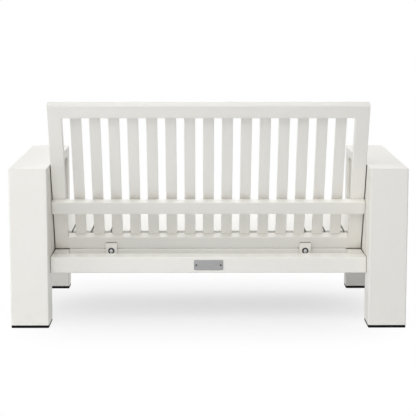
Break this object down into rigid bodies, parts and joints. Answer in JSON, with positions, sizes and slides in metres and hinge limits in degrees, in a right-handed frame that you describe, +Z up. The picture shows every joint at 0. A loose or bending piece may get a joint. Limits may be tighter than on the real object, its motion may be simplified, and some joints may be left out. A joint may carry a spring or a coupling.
{
  "type": "outdoor loveseat",
  "caption": "Bare white metal outdoor loveseat frame with box-section arms, a slatted seat deck and a reclined slatted back, on black foot pads.",
  "frame": {"origin": "on the floor under the middle of the seat, halfway between the outer faces of the arms and between the front and rear faces of the legs", "axes": "+Z up, +X along the seat's length, -Y the way the sitter faces, so the back is on +Y"},
  "size_m": [1.4, 0.78, 0.7998],
  "materials": {
    "frame_coating": "off-white fine-textured powder coat, satin",
    "foot_black": "moulded black plastic, matt",
    "bolt_steel": "zinc-plated steel, turned faces",
    "plate_metal": "brushed along its length, bare",
    "spacer_black": "moulded nylon, matt"
  },
  "bodies": {
    "root": {"arm_top_left": "frame_coating", "arm_top_right": "frame_coating", "back_bottom_rail": "frame_coating", "back_middle_rail": "frame_coating", "back_slat_01": "frame_coating", "back_slat_02": "frame_coating", "back_slat_03": "frame_coating", "back_slat_04": "frame_coating", "back_slat_05": "frame_coating", "back_slat_06": "frame_coating", "back_slat_07": "frame_coating", "back_slat_08": "frame_coating", "back_slat_09": "frame_coating", "back_slat_10": "frame_coating", "back_slat_11": "frame_coating", "back_slat_12": "frame_coating", "back_slat_13": "frame_coating", "back_slat_14": "frame_coating", "back_slat_15": "frame_coating", "back_stile_left": "frame_coating", "back_stile_right": "frame_coating", "back_top_rail": "frame_coating", "block_bolts": "bolt_steel", "cross_rail": "frame_coating", "fixing_block_left": "frame_coating", "fixing_block_right": "frame_coating", "frame_bolts": "bolt_steel", "frame_spacers": "spacer_black", "front_foot_left": "foot_black", "front_foot_right": "foot_black", "front_leg_left": "frame_coating", "front_leg_right": "frame_coating", "front_rail": "frame_coating", "name_plate": "plate_metal", "rear_foot_left": "foot_black", "rear_foot_right": "foot_black", "rear_leg_left": "frame_coating", "rear_leg_right": "frame_coating", "rear_rail": "frame_coating", "seat_bearer": "frame_coating", "seat_board_01": "frame_coating", "seat_board_02": "frame_coating", "seat_board_03": "frame_coating", "seat_board_04": "frame_coating", "seat_board_05": "frame_coating", "seat_board_06": "frame_coating", "seat_board_07": "frame_coating", "seat_board_08": "frame_coating", "seat_board_09": "frame_coating", "seat_board_10": "frame_coating", "seat_board_11": "frame_coating", "seat_board_12": "frame_coating", "seat_board_13": "frame_coating", "seat_board_14": "frame_coating", "seat_side_board_left": "frame_coating", "seat_side_board_right": "frame_coating", "side_panel_left": "frame_coating", "side_panel_right": "frame_coating", "side_rail_left": "frame_coating", "side_rail_right": "frame_coating"}
  },
  "joints": []
}
